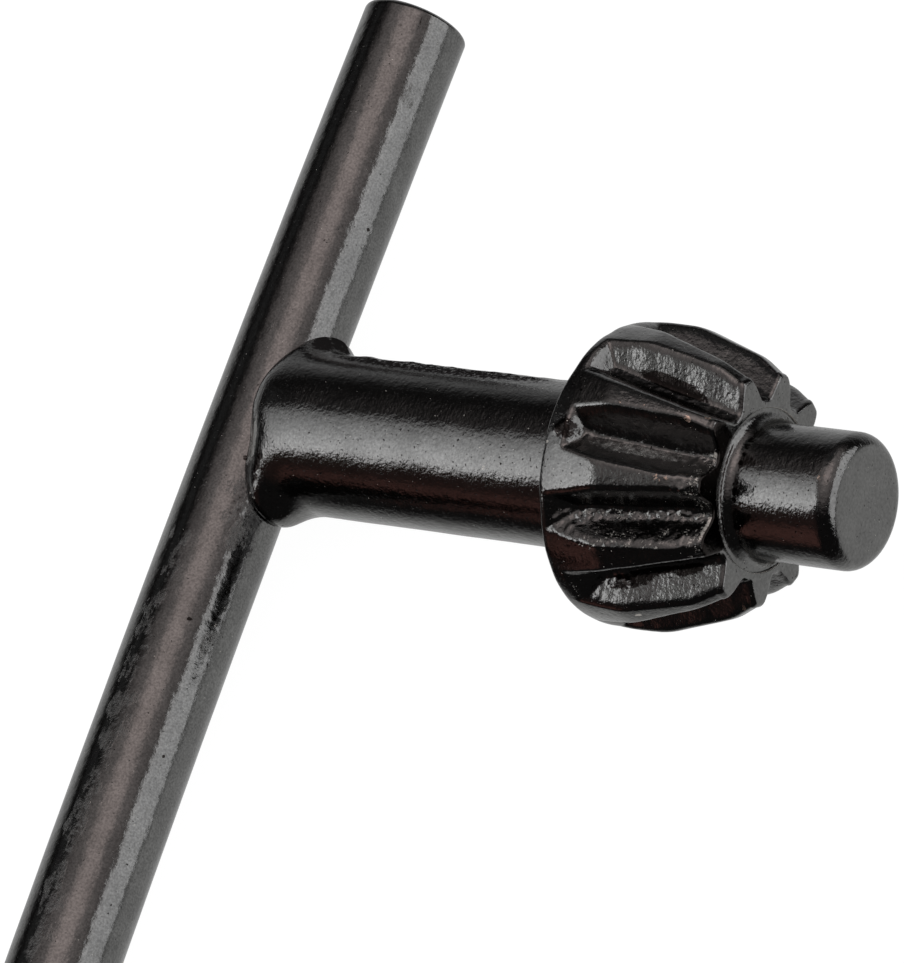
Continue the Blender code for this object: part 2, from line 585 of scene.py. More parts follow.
@dataclass(frozen=True)
class CoatFinish:
    """Glossy black coat on steel, with orange peel, pits, scuffs and chips, and painted shade, a
    painted dark reflection and a painted highlight line.
    """

    name: str
    slot: str
    metal: Colour = (0.178, 0.178, 0.177)
    cloud_scale: float = 0.7
    sheen_change: float = 0.12
    mottle_size: float = 0.14
    mottle: float = 0.14
    coat_specular: float = 0.5
    smear_scale: float = 2.2
    roughness: float = 0.1
    roughness_change: float = 0.07
    peel_size: float = 0.2
    peel_depth: float = 0.014
    grain_size: float = 0.09
    grain_depth: float = 0.006
    turning_scale: tuple[float, float, float] = (8.0, 1.3, 1.3)
    turning_depth: float = 0.006
    speck_size: float = 0.1
    speck_share: float = 0.775
    speck_edge: float = 0.03
    speck_shift: tuple[float, float, float] = (3.1, 7.7, 1.3)
    wave_size: float = 1.1
    wave_depth: float = 0.02
    pit_size: float = 0.13
    pit_share: float = 0.7
    pit_edge: float = 0.06
    pit_depth: float = 0.006
    pit_colour: Colour = (0.02, 0.018, 0.018)
    ripple_scale: float = 3.0
    ripple_depth: float = 0.014
    flake_scale: float = 6.5
    flake_depth: float = 0.011
    scuff_colour: Colour = (0.33, 0.325, 0.315)
    scuff_roughness: float = 0.3
    scuff_stretch: float = 1.0
    scratch_scale: float = 9.0
    scuff_depth: float = 0.035
    matt_share: float = 0.45
    # pale bare metal of chips and specks, also the painted highlight line on the recess's lip
    chip_and_highlight_colour: Colour = (0.5, 0.475, 0.44)
    chip_roughness: float = 0.35
    rust_colour: Colour = (0.78, 0.6, 0.5)
    # black of smudges, also painted shade in gap roots and round the pilot's root
    grime_and_shade_colour: Colour = (0.022, 0.019, 0.018)
    # dull black: painted dark reflection on the saddle's flare, and the shank's dull dark strip
    dull_coat_and_dark_reflection_colour: Colour = (0.011, 0.01, 0.01)

    def material(self, key: KeyFrame) -> bpy.types.Material:
        """Draw the finish as a material.

        Args:
            key: The key's frame, so that patterns lie along the shank and the bar.

        Returns:
            The material.
        """
        material = bpy.data.materials.new(self.name)
        material.use_nodes = True
        draw = Sketch(material.node_tree)
        shader = material.node_tree.nodes["Principled BSDF"]

        place = self.key_coordinates(draw, key)
        holes = draw.noise(place, 1.0 / self.pit_size, 1.0)
        pits = draw.remap(holes, self.pit_share, self.pit_share + self.pit_edge)
        dust = draw.noise(draw.mapping(place, self.speck_shift), 1.0 / self.speck_size, 1.0)
        specks = draw.remap(dust, self.speck_share, self.speck_share + self.speck_edge)
        # grime also masks painted shade, soot a painted dark reflection, chips a painted highlight
        # line
        chips, scuffs, rust, grime, soot = (self.marked(draw, place, kind) for kind in WearAndPaintedLight)
        chips = draw.maths("MAXIMUM", chips, specks)

        clouds = draw.noise(place, self.cloud_scale, 4.0, 0.6)
        lift = draw.remap(clouds, 0.3, 0.7, 1.0 - self.sheen_change, 1.0 + self.sheen_change)
        fine = draw.noise(place, 1.0 / self.mottle_size, 1.0)
        fine = draw.remap(fine, 0.3, 0.7, 1.0 - self.mottle, 1.0 + self.mottle)
        colour = draw.tint(1.0, self.metal, draw.maths("MULTIPLY", lift, fine), "MULTIPLY")
        for mask, over in (
            (grime, self.grime_and_shade_colour), (scuffs, self.scuff_colour), (pits, self.pit_colour),
            (rust, self.rust_colour), (chips, self.chip_and_highlight_colour), (soot, self.dull_coat_and_dark_reflection_colour),
        ):
            colour = draw.tint(mask, colour, over)

        smear = draw.noise(place, self.smear_scale, 5.0, 0.65)
        rough = draw.remap(
            smear, 0.35, 0.75, self.roughness, self.roughness + self.roughness_change)
        rough = draw.mix(scuffs, rough, self.scuff_roughness)
        rough = draw.mix(draw.maths("MAXIMUM", chips, rust), rough, self.chip_roughness)
        matt = draw.maths("MULTIPLY", draw.maths("MAXIMUM", scuffs, chips), self.matt_share)
        draw.feed(shader, {
            "Base Color": colour,
            "Roughness": rough,
            # under the soot mask the coat turns dull black, painting out the reflection there
            "Metallic": draw.maths("SUBTRACT", 1.0, draw.maths("MAXIMUM", matt, soot)),
            "Specular IOR Level": draw.mix(soot, self.coat_specular, 0.0),
            "Normal": self.relief(draw, place, pits, scuffs),
        })
        return material

    def key_coordinates(self, draw: Sketch, key: KeyFrame) -> bpy.types.NodeSocket:
        """Object coordinates turned into the key's frame, in millimetres.

        Args:
            draw: The tree being drawn.
            key: The key's frame.

        Returns:
            Coordinates s, u and n.
        """
        back = key.turn.transposed()
        return draw.mapping(
            draw.node("ShaderNodeTexCoord").outputs["Object"],
            location=-(back @ key.origin) / MM,
            rotation=back.to_euler(),
            scale=(1.0 / MM, 1.0 / MM, 1.0 / MM),
        )

    def marked(self, draw: Sketch, place: object, kind: WearAndPaintedLight) -> bpy.types.NodeSocket:
        """Ragged mask of one kind of mark, wear, dirt or painted light.

        Args:
            draw: The tree being drawn.
            place: Coordinates in millimetres.
            kind: Which wear.

        Returns:
            1 where the mark lies, 0 elsewhere.
        """
        size, soft = FLAKES[kind]
        if kind is WearAndPaintedLight.SCUFF:
            place = draw.mapping(place, scale=(1.0, 1.0 / self.scuff_stretch, 1.0))
        ragged = draw.maths(
            "ADD", draw.attribute(kind.value), draw.noise(place, 1.0 / size, 4.0, 0.75))
        return draw.remap(ragged, MARK_LEVEL - soft, MARK_LEVEL + soft)

    def relief(
        self, draw: Sketch, place: object, pits: object, scuffs: object
    ) -> bpy.types.NodeSocket:
        """All relief of the coat, from slow waves to fine grain.

        Args:
            draw: The tree being drawn.
            place: Coordinates in millimetres.
            pits: Mask of the pits.
            scuffs: Mask of the scuffs.

        Returns:
            The shading normal.
        """
        open_coat = draw.maths("SUBTRACT", 1.0, draw.attribute("groove"))
        waves = draw.maths("MULTIPLY", draw.noise(place, 1.0 / self.wave_size, 2.0), open_coat)
        normal = draw.bump(waves, self.wave_depth)
        for size, uneven, depth in (
            (self.peel_size, 0.5, self.peel_depth), (self.grain_size, 0.6, self.grain_depth),
        ):
            normal = draw.bump(draw.noise(place, 1.0 / size, 2.0, uneven), depth, normal)
        turning = draw.noise(draw.mapping(place, scale=self.turning_scale), 1.0, 2.0, 0.6)
        normal = draw.bump(turning, self.turning_depth, normal)
        normal = draw.bump(draw.maths("SUBTRACT", 1.0, pits), self.pit_depth, normal)
        for fine, depth in (
            (self.ripple_scale, self.ripple_depth), (self.flake_scale, self.flake_depth),
        ):
            rough = draw.noise(draw.mapping(place, scale=(fine, 0.75 * fine, 0.75 * fine)), 1.0)
            rough = draw.maths("MULTIPLY", rough, draw.attribute("groove"))
            normal = draw.bump(rough, depth, normal)
        scratch = draw.noise(place, self.scratch_scale, 3.0, 0.7)
        scratch = draw.maths("MULTIPLY", scratch, scuffs)
        return draw.bump(scratch, self.scuff_depth, normal)


@dataclass(frozen=True)
class TeethForm:
    """The toothed head's form, as a radius over station and angle, in millimetres."""

    count: int = 11
    first_gap_deg: float = -1.5
    length: float = 6.9
    back_rim: float = 6.68
    outline: tuple[tuple[float, float], ...] = (
        (0.0, 6.68), (0.7, 6.74), (2.4, 6.71), (5.6, 5.76), (6.9, 4.95))
    outline_ease: float = 0.3
    gap_start: float = 0.35
    gap_delays: tuple[float, ...] = (
        0.0, 0.1, 0.2, 0.55, 0.0, 0.35, 0.1, 0.0, 0.3, 0.0, 0.2)
    end_walls_deg: tuple[float, ...] = (
        48.0, 48.0, 66.0, 70.0, 50.0, 50.0, 48.0, 48.0, 48.0, 48.0, 48.0)
    root_at_face: float = 3.87
    root_deg: float = 18.5
    root_width: float = 0.5
    flank_deg: float = 37.5
    opened_flank: tuple[int, float, float] = (2, 1.0, 8.0)
    lip_round: float = 0.4
    root_rounds: tuple[float, ...] = (
        0.22, 0.22, 0.22, 0.7, 0.3, 0.22, 0.22, 0.22, 0.22, 0.22, 0.22)
    wall_round: float = 0.12
    lip_wander: float = 0.07
    gap_wander_deg: float = 0.4
    hammered: float = 0.036
    gap_roughness: tuple[float, ...] = (
        0.8, 0.8, 0.12, 0.6, 0.9, 0.3, 0.9, 1.0, 0.8, 1.0, 0.8)
    gap_edge: tuple[float, float] = (-0.05, 0.25)
    lip_wear_and_highlight: float = 0.34
    lip_wear_width: float = 0.16

    @property
    def pitch(self) -> float:
        """Angle from one tooth gap to the next."""
        return 2 * math.pi / self.count

    def tip(self, run: float) -> float:
        """Radius of the tooth tips.

        Args:
            run: Station measured from the back rim.

        Returns:
            The outline's radius, eased at its corners.
        """
        taps = [run + self.outline_ease * shift for shift in (-1.0, -0.5, 0.0, 0.5, 1.0)]
        return sum(self.outline_at(tap) for tap in taps) / len(taps)

    def outline_at(self, run: float) -> float:
        """Radius of the straight-sided outline, carried on past its ends.

        Args:
            run: Station measured from the back rim.

        Returns:
            The radius.
        """
        pairs = list(zip(self.outline, self.outline[1:]))
        for (x0, r0), (x1, r1) in pairs:
            if run <= x1 or (x0, r0) == pairs[-1][0]:
                return r0 + (r1 - r0) * (run - x0) / (x1 - x0)
        return self.outline[-1][1]

    def root(self, run: float) -> float:
        """Radius of the line along the bottom of a tooth gap."""
        return self.root_at_face + (self.length - run) * math.tan(math.radians(self.root_deg))

    def end_wall(self, run: float, number: int) -> float:
        """Radius of the sloped wall that closes a gap at the back.

        Args:
            run: Station measured from the back rim.
            number: The gap's number.

        Returns:
            The radius.
        """
        start = self.gap_start + self.gap_delays[number]
        fall = math.tan(math.radians(self.end_walls_deg[number]))
        return self.tip(start) - (run - start) * fall

    def in_gap(self, turn: float) -> tuple[int, float]:
        """Which gap an angle belongs to, and how far it is from that gap's middle.

        Args:
            turn: Angle round the axis.

        Returns:
            The gap's number and the angle from its middle.
        """
        number = round((turn - math.radians(self.first_gap_deg)) / self.pitch)
        middle = math.radians(self.first_gap_deg) + number * self.pitch
        number %= self.count
        middle += math.radians(self.gap_wander_deg) * lump((number, 0.5, 0.5), 0.37)
        return number, turn - middle

    def gap_floor(self, run: float, turn: float) -> float:
        """Radius of the gap's own surfaces: bottom, flanks and end wall.

        Args:
            run: Station measured from the back rim.
            turn: Angle round the axis.

        Returns:
            The radius, which lies above the tips outside the gap.
        """
        number, off = self.in_gap(turn)
        side = math.copysign(1.0, off)
        gap, opened_side, extra = self.opened_flank
        opened = extra if (number, side) == (gap, opened_side) else 0.0
        lean = math.tan(math.radians(self.flank_deg + opened))
        slope = min(math.tan(abs(off)), 0.9 * lean)
        wander = self.lip_wander * lump((run, number, side), 0.9)
        half = self.root_width / 2 + 0.5 * wander
        bottom = self.root(run)
        flank = (bottom * lean - half) / (lean - slope)
        level = smooth_max(bottom, flank, self.root_rounds[number])
        level = smooth_max(level, self.end_wall(run, number), self.wall_round)
        return level / math.cos(off)

    def radius(self, run: float, turn: float, tip: float) -> tuple[float, float, float]:
        """Radius of the finished surface.

        Args:
            run: Station measured from the back rim.
            turn: Angle round the axis.
            tip: Radius of the tips at that station.

        Returns:
            The radius, the share of gap surface from 0 to 1, and the wear of the lip there.
        """
        number, _ = self.in_gap(turn)
        level = self.gap_floor(run, turn)
        inside = smooth_step(tip - level, *self.gap_edge)
        around = (1.4 * run, level * math.cos(turn), level * math.sin(turn))
        if inside > 0.0:
            dents = lump(around, 0.6) + 0.45 * lump(around, 0.3)
            level += self.hammered * self.gap_roughness[number] * inside * dents
        wear = bell((tip - level) / self.lip_wear_width)
        wear *= self.lip_wear_and_highlight * (1.0 + 0.5 * lump(around, 1.9, 4.0))
        return smooth_min(tip, level, self.lip_round), inside, wear


@dataclass
class KeyBody:
    """Shank with its saddle, toothed head and pilot, forged as one piece, in millimetres."""

    key: KeyFrame
    finish: CoatFinish
    teeth: TeethForm = field(default_factory=TeethForm)
    marks: tuple[Mark, ...] = ()
    burrs: tuple[Burr, ...] = ()
    bar_radius: float = 2.5
    seam: float = 0.04
    saddle_wrap_deg: float = 66.0
    seam_swerves: tuple[tuple[float, float, float], ...] = ((110.0, 14.0, -5.2), (165.0, 24.0, 6.5))
    saddle_reach: float = 4.6
    saddle_end: float = 4.4
    rise_side: float = 0.75
    rise_top: float = 1.0
    rim_bevel_deg: float = 24.0
    bevel_middle_deg: float = 122.0
    bevel_width_deg: float = 32.0
    blend_side: float = 1.2
    blend_top: float = 2.8
    shank_radius: float = 3.68
    shank_length: float = 20.6
    back_slope: float = 0.35
    shoulder_fillet: float = 0.5
    rim_round: float = 0.12
    face_edge: float = 0.34
    pilot_radius: float = 3.0
    pilot_length: float = 5.3
    pilot_edge: float = 0.8
    pilot_fillet: float = 0.58
    recess_depth: float = 0.12
    recess_lip: float = 0.05
    tip_relief: float = 0.02
    rim_bulge_height: float = 0.22
    rim_bulge_middle_deg: float = 60.0
    rim_bulge_width_deg: float = 16.903
    rim_bulge_run: float = 0.9
    rim_sink: float = 0.035
    rim_push: float = 0.32
    rim_push_window: Window = (55.0, 95.0, 165.0, 215.0)
    rim_push_run: float = 1.1
    rim_scuff_strength: float = 0.62
    rim_scuff_window: Window = (84.0, 104.0, 122.0, 134.0)
    rim_scuff_reach: tuple[float, float] = (0.2, 0.34)
    # angles of the painted shade round the pilot's root
    root_shade_window: Window = (66.0, 84.0, 146.0, 168.0)
    # pale line on the recess's lip, a painted highlight
    lip_wear_and_highlight: float = 0.75
    mouth_wear: float = 0.66
    mouth_window: Window = (86.0, 94.0, 158.0, 166.0)
    mouth_middle: float = 0.2
    mouth_width: float = 0.12
    columns_per_tooth: int = 40
    seat_rings: int = 8
    saddle_rings: int = 24
    shank_rings: int = 40
    head_rings: int = 88
    face_rings: int = 12
    disc_rings: int = 10
    dented: float = 0.012

    @property
    def face(self) -> float:
        """Station of the head's front face."""
        return self.shank_length + self.teeth.length

    @property
    def tip(self) -> float:
        """Station of the pilot's end."""
        return self.face + self.pilot_length

    def rings(self) -> list[Ring]:
        """All rings of the piece, from the middle of the seat to the pilot's pole.

        Returns:
            Zone of each ring with two numbers: a share for the seat, the saddle and the
            face, a station for the head, and a station and radius where it is turned.
        """
        rings = [(Zone.SEAT, share, 0.0) for share in [0.0] + spread(0.0, 1.0, self.seat_rings)]
        rings += [(Zone.SADDLE, share, 0.0) for share in spread(0.0, 1.0, self.saddle_rings)]
        neck = self.shank_length - self.back_slope - self.shoulder_fillet
        rings += [(Zone.TURNED, s, self.shank_radius)
                  for s in spread(self.saddle_end, neck, self.shank_rings)]
        rings += self.arc((neck, self.shank_radius + self.shoulder_fillet),
                          self.shoulder_fillet, -90.0, 0.0, 6)
        rim = self.teeth.back_rim - self.rim_round
        foot = self.shank_radius + self.shoulder_fillet
        for radius in spread(foot, rim, 5):
            lean = self.back_slope * (radius - foot) / (rim - foot)
            rings.append((Zone.TURNED, self.shank_length - self.back_slope + lean, radius))
        rings += self.arc((self.shank_length + self.rim_round, rim), self.rim_round, 180.0, 90.0, 3)
        front = self.teeth.length - self.face_edge
        rings += [(Zone.HEAD, run, 0.0) for run in spread(self.rim_round, front, self.head_rings)]
        rings += [(Zone.FACE, share, 0.0) for share in spread(0.0, 1.0, self.face_rings)]
        root = self.pilot_radius + self.pilot_fillet
        floor = self.face - self.recess_depth
        rings += [
            (Zone.TURNED, self.face - 0.3 * self.recess_lip, root + 0.3 * self.recess_lip),
            (Zone.TURNED, self.face - self.recess_lip, root),
            (Zone.TURNED, floor, root)]
        rings += self.arc((floor + self.pilot_fillet, root), self.pilot_fillet, 180.0, 270.0, 9)
        shoulder = self.tip - self.tip_relief - self.pilot_edge
        start = floor + self.pilot_fillet
        rings += [(Zone.TURNED, s, self.pilot_radius) for s in spread(start, shoulder, 9)]
        disc = self.pilot_radius - self.pilot_edge
        rings += self.arc((shoulder, disc), self.pilot_edge, 90.0, 0.0, 10)
        end = self.tip - self.tip_relief
        rings += [(Zone.TURNED, end, disc * (1.0 - share))
                  for share in spread(0.0, 1.0, self.disc_rings)]
        return rings

    def arc(
        self, centre: tuple[float, float], radius: float, start: float, end: float, count: int
    ) -> list[Ring]:
        """Turned rings along an arc, without its first point.

        Args:
            centre: Station and radius of the arc's centre.
            radius: Radius of the arc.
            start: Angle of its start, in degrees.
            end: Angle of its end, in degrees.
            count: Number of rings.

        Returns:
            The rings.
        """
        angles = [math.radians(angle) for angle in spread(start, end, count)]
        return [
            (Zone.TURNED, centre[0] + radius * math.cos(a), centre[1] + radius * math.sin(a))
            for a in angles
        ]

    def wrap(self, turn: float) -> float:
        """How far round the bar the seam lies.

        Args:
            turn: Angle round the shank.

        Returns:
            Angle round the bar, from the shank's direction.
        """
        angle = self.saddle_wrap_deg * math.sin(turn)
        for middle, width, swerve in self.seam_swerves:
            angle += swerve * bell(degrees_from(turn, middle) / width)
        return math.radians(angle)

    def seat_point(self, share: float, turn: float) -> Vector:
        """Point of the hollow that lies against the bar.

        Args:
            share: 0 in the middle of the seat, 1 at its rim.
            turn: Angle round the shank.

        Returns:
            The point.
        """
        wrap = self.wrap(turn) * share
        reach = self.bar_radius + self.seam
        return Vector((reach * math.cos(wrap), self.saddle_reach * math.cos(turn) * share,
                       reach * math.sin(wrap)))

    def saddle_point(self, share: float, turn: float) -> Vector:
        """Point of the flare between the bar and the round shank.

        Args:
            share: 0 on the bar, 1 on the shank.
            turn: Angle round the shank.

        Returns:
            The point.
        """
        rim = self.seat_point(1.0, turn)
        wrap = self.wrap(turn)
        outward = Vector((math.cos(wrap), 0.0, math.sin(wrap)))
        end = self.round_point(self.saddle_end, self.shank_radius, turn)
        top = math.sin(turn) ** 2
        rise = self.rise_side + (self.rise_top - self.rise_side) * top
        blend = self.blend_side + (self.blend_top - self.blend_side) * top
        rise *= 1.0 + 0.25 * lump_round(turn, 3.0, 0.8, 0.0, 5.0)
        before = end - Vector((blend, 0.0, 0.0))
        t, r = share, 1.0 - share
        off = (math.degrees(turn) - self.bevel_middle_deg) / self.bevel_width_deg
        bevel = math.radians(self.rim_bevel_deg) * bell(off)
        along = Vector((math.sin(wrap), 0.0, -math.cos(wrap)))
        bend = rim + (outward * math.cos(bevel) + along * math.sin(bevel)) * rise
        return rim * r ** 3 + bend * (3 * t * r * r) + before * (3 * t * t * r) + end * t ** 3

    def round_point(self, station: float, radius: float, turn: float) -> Vector:
        """Point at a station, radius and angle."""
        return Vector((station, radius * math.cos(turn), radius * math.sin(turn)))

    def rim_bulge(self, turn: float) -> float:
        """How far the back rim stands out where the forging's burr was pushed over.

        Args:
            turn: Angle round the shank.

        Returns:
            The height, in millimetres, which is below 0 away from the burr.
        """
        off = (math.degrees(turn) - self.rim_bulge_middle_deg) / self.rim_bulge_width_deg
        ragged = 0.8 + 0.35 * lump_round(turn, 6.0, 0.7, 2.0)
        return self.rim_bulge_height * bell(off) * ragged - self.rim_sink

    def rim_set_back(self, turn: float) -> float:
        """How far the back rim was pushed towards the bar, on the side in view."""
        ragged = 1.0 + 0.25 * lump_round(turn, 6.0, 1.1, 5.0)
        return self.rim_push * window(math.degrees(turn) % 360.0, self.rim_push_window) * ragged

    def head_point(self, run: float, turn: float, tip: float) -> tuple[Vector, float, float]:
        """Point of the toothed head.

        Args:
            run: Station from the back rim.
            turn: Angle round the shank.
            tip: Radius of the tips at that station.

        Returns:
            The point, the share of gap surface there and the lip's wear.
        """
        tip += self.rim_bulge(turn) * bell(run / self.rim_bulge_run)
        radius, inside, wear = self.teeth.radius(run, turn, tip)
        place = self.round_point(run, radius, turn)
        radius += 0.6 * self.dented * lump(place, 0.8, 9.0)
        radius += sum(burr.rise(self.shank_length + run, turn, place) for burr in self.burrs)
        station = self.shank_length + run
        station -= self.rim_set_back(turn) * bell(run / self.rim_push_run)
        return self.round_point(station, radius, turn), inside, wear

    def face_point(self, share: float, turn: float, tip: float) -> Vector:
        """Point of the head's front face.

        Args:
            share: 0 where the face's rounded edge starts, 1 at the pilot's recess.
            turn: Angle round the shank.
            tip: Radius of the tips where the edge starts.

        Returns:
            The point.
        """
        edge, _, _ = self.head_point(self.teeth.length - self.face_edge, turn, tip)
        outer = math.hypot(edge.y, edge.z)
        inner = self.pilot_radius + self.pilot_fillet + self.recess_lip
        corner = min(self.face_edge, 0.6 * max(outer - inner, 0.0))
        bend = min(share / 0.5, 1.0) * math.pi / 2
        station = self.face - self.face_edge * (1.0 - math.sin(bend))
        radius = outer - corner * (1.0 - math.cos(bend))
        flat = max(0.0, (share - 0.5) / 0.5)
        return self.round_point(station, radius + (inner - radius) * flat, turn)

    def turned_point(self, station: float, radius: float, turn: float) -> Vector:
        """Point of a turned stretch, with the forging's slight dents.

        Args:
            station: Place along the shank's axis.
            radius: Radius of the ring there.
            turn: Angle round the shank.

        Returns:
            The point.
        """
        point = self.round_point(station, radius, turn)
        on_shank = smooth_step(station, self.saddle_end, self.saddle_end + 1.0)
        bulge = self.rim_bulge(turn) * smooth_step(radius, 5.6, self.teeth.back_rim)
        if station > self.face - 0.5 or radius < self.bar_radius:
            bulge, on_shank = 0.0, 0.3 * smooth_step(radius, 0.0, self.pilot_radius)
        elif station > self.shank_length - 1.0:
            station -= self.rim_set_back(turn) * smooth_step(radius, 4.6, 6.2)
        push = bulge + self.dented * on_shank * (lump(point, 2.2) + 0.3 * lump(point, 0.7))
        if radius == self.shank_radius:
            push += sum(burr.rise(station, turn, point) for burr in self.burrs)
        return self.round_point(station, radius + push, turn)

    def rim_scuff(self, share: float, turn: float) -> float:
        """Strength of the scuffing on the saddle's rim, on the side that hands rub."""
        around = window(math.degrees(turn), self.rim_scuff_window)
        return self.rim_scuff_strength * around * (1.0 - smooth_step(share, *self.rim_scuff_reach))

    def root_shade(self, station: float, radius: float, turn: float) -> float:
        """Strength of the painted shade on the front face and in the pilot's root, where the coat
        mirrors dark shadow.

        Args:
            station: Place along the shank's axis.
            radius: Distance from the axis.
            turn: Angle round the shank.

        Returns:
            A share from 0 to 1.
        """
        near = smooth_step(station, self.face - 0.12, self.face - 0.02)
        near *= smooth_step(radius, self.pilot_radius + 0.15, self.pilot_radius + 0.35)
        return near * window(math.degrees(turn) % 360.0, self.root_shade_window)

    def mouth_chips(self, share: float, turn: float) -> float:
        """Strength of the chips on the front face's rounded edge, on the side in view.

        Args:
            share: 0 where the edge starts, 1 at the pilot's recess.
            turn: Angle round the shank.

        Returns:
            The strength.
        """
        around = window(math.degrees(turn) % 360.0, self.mouth_window)
        broken = 0.72 + 0.75 * lump_round(turn, 6.0, 0.55, 8.0)
        across = bell((share - self.mouth_middle) / self.mouth_width)
        return self.mouth_wear * around * broken * across

    def build(self) -> bpy.types.Object:
        """Shape the tube into the key body and dress it.

        Returns:
            The piece.
        """
        rings = self.rings()
        bm = make_tube(self.teeth.count * self.columns_per_tooth, len(rings))
        layers = {kind: bm.verts.layers.float.new(kind.value) for kind in WearAndPaintedLight}
        gap_layer = bm.verts.layers.float.new("groove")
        tips = [self.teeth.tip(value) if zone is Zone.HEAD else 0.0 for zone, value, _ in rings]
        face_tip = self.teeth.tip(self.teeth.length - self.face_edge)
        middle = (len(rings) - 1) / 2
        lip = self.pilot_radius + self.pilot_fillet + 0.3 * self.recess_lip
        for vert in bm.verts:
            row = round(vert.co.z + middle)
            turn = math.atan2(vert.co.y, vert.co.x)
            zone, value, radius = rings[row]
            inside = 0.0
            if zone is Zone.SEAT:
                point = self.seat_point(value, turn)
            elif zone is Zone.SADDLE:
                point = self.saddle_point(value, turn)
            elif zone is Zone.HEAD:
                point, inside, vert[layers[WearAndPaintedLight.CHIP]] = self.head_point(value, turn, tips[row])
            elif zone is Zone.FACE:
                point = self.face_point(value, turn, face_tip)
                vert[layers[WearAndPaintedLight.CHIP]] = self.mouth_chips(value, turn)
            else:
                point = self.turned_point(value, radius, turn)
            vert[gap_layer] = inside
            distance = math.hypot(point.y, point.z)
            # painted shade: black where the front face and the pilot's root mirror shadow
            vert[layers[WearAndPaintedLight.GRIME]] = self.root_shade(point.x, distance, turn)
            if zone is Zone.SADDLE:
                vert[layers[WearAndPaintedLight.SCUFF]] = self.rim_scuff(value, turn)
            # painted highlight: a pale line along the recess's lip draws the bright edge there
            if point.x > self.face - 0.06 and abs(distance - lip) < 0.02:
                vert[layers[WearAndPaintedLight.CHIP]] = self.lip_wear_and_highlight
            lay_marks(vert, layers, self.marks, point.x, turn, distance)
            vert.co = self.key.place(point)
        piece = close_and_link(bm, "forged_key_body")
        piece.data.materials.append(self.finish.material(self.key))
        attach(piece, BODY)
        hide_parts("key_body")
        return piece


@dataclass
class TeeBar:
    """The plain round bar across the shank's end, in millimetres."""

    key: KeyFrame
    finish: CoatFinish
    marks: tuple[Mark, ...] = ()
    radius: float = 2.485
    long_arm: float = 37.0
    short_arm: float = 21.0
    edge_round: float = 0.35
    bow: float = 0.25
    bow_middle: float = -3.0
    bow_run: float = 24.0
    bow_limit: float = 0.35
    set_back: float = 0.045
    end_wear: float = 0.26
    end_wear_reach: float = 0.9
    columns: int = 168
    ring_step: float = 0.17
    corner_rings: int = 9
    disc_rings: int = 8
    uneven: float = 0.008

    def rings(self) -> list[tuple[float, float]]:
        """Rings of the bar as place along it and radius, from pole to pole.

        Returns:
            The rings.
        """
        flat = self.radius - self.edge_round
        corner = [
            (self.edge_round * math.sin(a), flat + self.edge_round * math.cos(a))
            for a in [0.0] + spread(0.0, math.pi / 2, self.corner_rings)
        ]
        disc = [
            (self.edge_round, flat * (1.0 - share)) for share in spread(0.0, 1.0, self.disc_rings)]
        end = corner + disc
        low, high = self.edge_round - self.long_arm, self.short_arm - self.edge_round
        count = round((high - low) / self.ring_step)
        rings = [(low - out, radius) for out, radius in reversed(end)]
        rings += [(u, self.radius) for u in spread(low, high, count)[:-1]]
        rings += [(high + out, radius) for out, radius in end]
        return rings

    def point(self, along: float, radius: float, turn: float) -> Vector:
        """Point of the bar's surface.

        Args:
            along: Place along the bar.
            radius: Radius of the ring there.
            turn: Angle round the bar, from the shank's direction upward.

        Returns:
            The point, with the bar's slight bow and unevenness.
        """
        shift = min(self.bow * ((along - self.bow_middle) / self.bow_run) ** 2, self.bow_limit)
        shift -= self.set_back
        near_end = smooth_step(along, self.short_arm - self.end_wear_reach, self.short_arm)
        along -= self.end_wear * near_end * (0.5 + 0.5 * math.cos(turn)) * radius / self.radius
        outward = Vector((math.cos(turn), 0.0, math.sin(turn)))
        spot = outward * radius + Vector((0.0, along, 0.0))
        slow = lump((spot.x, 0.5 * spot.y, spot.z), 1.6, 3.0)
        push = self.uneven * radius / self.radius * (slow - 1.0)
        return spot + outward * push + Vector((shift, 0.0, 0.0))

    def build(self) -> bpy.types.Object:
        """Shape the tube into the bar and dress it.

        Returns:
            The piece.
        """
        rings = self.rings()
        bm = make_tube(self.columns, len(rings))
        layers = {kind: bm.verts.layers.float.new(kind.value) for kind in WearAndPaintedLight}
        middle = (len(rings) - 1) / 2
        for vert in bm.verts:
            along, radius = rings[round(vert.co.z + middle)]
            turn = math.atan2(vert.co.y, vert.co.x)
            lay_marks(vert, layers, self.marks, along, turn, radius)
            vert.co = self.key.place(self.point(along, radius, turn))
        piece = close_and_link(bm, "round_tee_bar")
        piece.data.materials.append(self.finish.material(self.key))
        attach(piece, BODY)
        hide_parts("tee_bar")
        return piece


def direction(azimuth_deg: float, elevation_deg: float) -> Vector:
    """Unit vector towards a place in the studio.

    Args:
        azimuth_deg: Angle from +X towards +Y.
        elevation_deg: Angle above the floor.

    Returns:
        The direction.
    """
    azimuth, elevation = math.radians(azimuth_deg), math.radians(elevation_deg)
    level = math.cos(elevation)
    return Vector((level * math.cos(azimuth), level * math.sin(azimuth), math.sin(elevation)))


